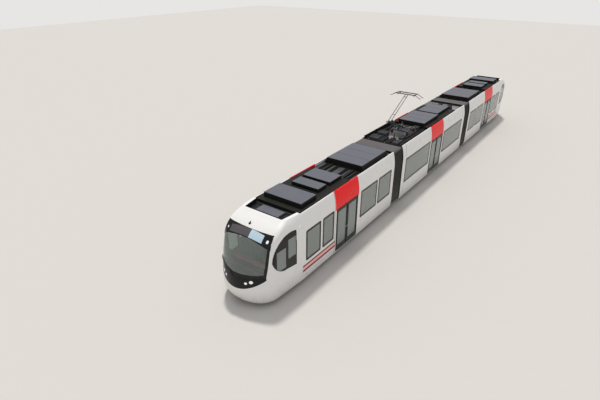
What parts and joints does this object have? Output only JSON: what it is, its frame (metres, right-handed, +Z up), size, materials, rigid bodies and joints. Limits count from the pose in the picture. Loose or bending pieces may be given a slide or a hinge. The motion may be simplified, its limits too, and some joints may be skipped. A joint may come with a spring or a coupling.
{
  "type": "articulated low-floor tram",
  "caption": "Double-ended low-floor tram in three hinged sections on swivelling bogies, with folded gangway bellows and a raised current collector.",
  "frame": {"origin": "centre of the footprint, at the lowest point of the wheel flanges; the rail heads would be 26 mm above it", "axes": "+X towards the front cab, +Y to the left side, +Z up"},
  "size_m": [30.1206, 2.4052, 4.9098],
  "materials": {
    "white_paint": "gloss",
    "underframe": "matte",
    "windscreen_glass": "gloss",
    "window_glass": "gloss",
    "black_gloss": "gloss",
    "lamp_lens": "gloss",
    "roof_black": "matte",
    "roof_grey": "satin",
    "interior": "matte",
    "bellows": "matte",
    "bogie_steel": "matte",
    "wheel_steel": "worn",
    "collector_metal": "satin"
  },
  "bodies": {
    "middle": {"middle_shell": "white_paint", "middle_floor": "underframe", "middle_wheel_boxes": "interior", "middle_glass": "window_glass", "middle_doors": "black_gloss", "middle_roof_housings": "roof_black", "middle_roof_lids": "roof_grey", "middle_interior": "interior", "front_bellows": "bellows", "rear_bellows": "bellows", "collector_base": "collector_metal"},
    "front_section": {"front_shell": "white_paint", "front_floor": "underframe", "front_wheel_boxes": "interior", "front_nose": "white_paint", "front_windscreen": "windscreen_glass", "front_mask": "black_gloss", "front_lamps": "lamp_lens", "front_glass": "window_glass", "front_doors": "black_gloss", "front_roof_housings": "roof_black", "front_roof_lids": "roof_grey", "front_interior": "interior", "front_bulkhead": "interior"},
    "rear_section": {"rear_shell": "white_paint", "rear_floor": "underframe", "rear_wheel_boxes": "interior", "rear_nose": "white_paint", "rear_windscreen": "windscreen_glass", "rear_mask": "black_gloss", "rear_lamps": "lamp_lens", "rear_glass": "window_glass", "rear_doors": "black_gloss", "rear_roof_housings": "roof_black", "rear_roof_lids": "roof_grey", "rear_interior": "interior", "rear_bulkhead": "interior"},
    "bogie_1": {"bogie_1_frame": "bogie_steel"},
    "wheelset_1_front": {"bogie_1_wheelset_front": "wheel_steel"},
    "wheelset_1_rear": {"bogie_1_wheelset_rear": "wheel_steel"},
    "bogie_2": {"bogie_2_frame": "bogie_steel"},
    "wheelset_2_front": {"bogie_2_wheelset_front": "wheel_steel"},
    "wheelset_2_rear": {"bogie_2_wheelset_rear": "wheel_steel"},
    "bogie_3": {"bogie_3_frame": "bogie_steel"},
    "wheelset_3_front": {"bogie_3_wheelset_front": "wheel_steel"},
    "wheelset_3_rear": {"bogie_3_wheelset_rear": "wheel_steel"},
    "bogie_4": {"bogie_4_frame": "bogie_steel"},
    "wheelset_4_front": {"bogie_4_wheelset_front": "wheel_steel"},
    "wheelset_4_rear": {"bogie_4_wheelset_rear": "wheel_steel"},
    "collector_lower_arm": {"collector_lower_arm": "collector_metal"},
    "collector_guide_rod": {"collector_guide_rod": "collector_metal"},
    "collector_upper_arm": {"collector_upper_arm": "collector_metal"},
    "collector_head": {"collector_head": "collector_metal"}
  },
  "joints": [
    {"name": "front_articulation", "type": "hinge", "parent": "middle", "child": "front_section", "pos_m": [4.925, 0, 0.35], "axis": [0, 0, 1], "range_deg": [-28, 28], "deforming": ["front_bellows"]},
    {"name": "rear_articulation", "type": "hinge", "parent": "middle", "child": "rear_section", "pos_m": [-4.925, 0, 0.35], "axis": [0, 0, 1], "range_deg": [-28, 28], "deforming": ["rear_bellows"]},
    {"name": "bogie_1_swivel", "type": "hinge", "parent": "front_section", "child": "bogie_1", "pos_m": [11.75, 0, 0.3], "axis": [0, 0, 1], "range_deg": [-8, 8]},
    {"name": "wheelset_1_front_spin", "type": "hinge", "parent": "bogie_1", "child": "wheelset_1_front", "pos_m": [12.65, 0, 0.326], "axis": [0, 1, 0], "continuous": true},
    {"name": "wheelset_1_rear_spin", "type": "hinge", "parent": "bogie_1", "child": "wheelset_1_rear", "pos_m": [10.85, 0, 0.326], "axis": [0, 1, 0], "continuous": true},
    {"name": "bogie_2_swivel", "type": "hinge", "parent": "middle", "child": "bogie_2", "pos_m": [2.75, 0, 0.3], "axis": [0, 0, 1], "range_deg": [-8, 8]},
    {"name": "wheelset_2_front_spin", "type": "hinge", "parent": "bogie_2", "child": "wheelset_2_front", "pos_m": [3.65, 0, 0.326], "axis": [0, 1, 0], "continuous": true},
    {"name": "wheelset_2_rear_spin", "type": "hinge", "parent": "bogie_2", "child": "wheelset_2_rear", "pos_m": [1.85, 0, 0.326], "axis": [0, 1, 0], "continuous": true},
    {"name": "bogie_3_swivel", "type": "hinge", "parent": "middle", "child": "bogie_3", "pos_m": [-2.75, 0, 0.3], "axis": [0, 0, 1], "range_deg": [-8, 8]},
    {"name": "wheelset_3_front_spin", "type": "hinge", "parent": "bogie_3", "child": "wheelset_3_front", "pos_m": [-1.85, 0, 0.326], "axis": [0, 1, 0], "continuous": true},
    {"name": "wheelset_3_rear_spin", "type": "hinge", "parent": "bogie_3", "child": "wheelset_3_rear", "pos_m": [-3.65, 0, 0.326], "axis": [0, 1, 0], "continuous": true},
    {"name": "bogie_4_swivel", "type": "hinge", "parent": "rear_section", "child": "bogie_4", "pos_m": [-11.75, 0, 0.3], "axis": [0, 0, 1], "range_deg": [-8, 8]},
    {"name": "wheelset_4_front_spin", "type": "hinge", "parent": "bogie_4", "child": "wheelset_4_front", "pos_m": [-10.85, 0, 0.326], "axis": [0, 1, 0], "continuous": true},
    {"name": "wheelset_4_rear_spin", "type": "hinge", "parent": "bogie_4", "child": "wheelset_4_rear", "pos_m": [-12.65, 0, 0.326], "axis": [0, 1, 0], "continuous": true},
    {"name": "collector_raise", "type": "hinge", "parent": "middle", "child": "collector_lower_arm", "pos_m": [2.05, 0, 3.12], "axis": [0, -1, 0], "range_deg": [-20.5, 12]},
    {"name": "collector_knee", "type": "hinge", "parent": "collector_lower_arm", "child": "collector_upper_arm", "pos_m": [3.85, 0, 3.88], "axis": [0, -1, 0], "range_deg": [-25, 42]},
    {"name": "collector_level", "type": "hinge", "parent": "collector_upper_arm", "child": "collector_head", "pos_m": [2.05, 0, 4.85], "axis": [0, -1, 0], "range_deg": [-21.5, 13]},
    {"name": "collector_guide", "type": "hinge", "parent": "middle", "child": "collector_guide_rod", "pos_m": [2.35, -0.11, 3.15], "axis": [0, -1, 0], "range_deg": [-22.5, 13.5]}
  ],
  "couplings": [
    {"joint": "collector_knee", "follows": "collector_raise", "ratio": -2},
    {"joint": "collector_level", "follows": "collector_raise", "ratio": 1},
    {"joint": "collector_guide", "follows": "collector_raise", "ratio": 1.075}
  ]
}
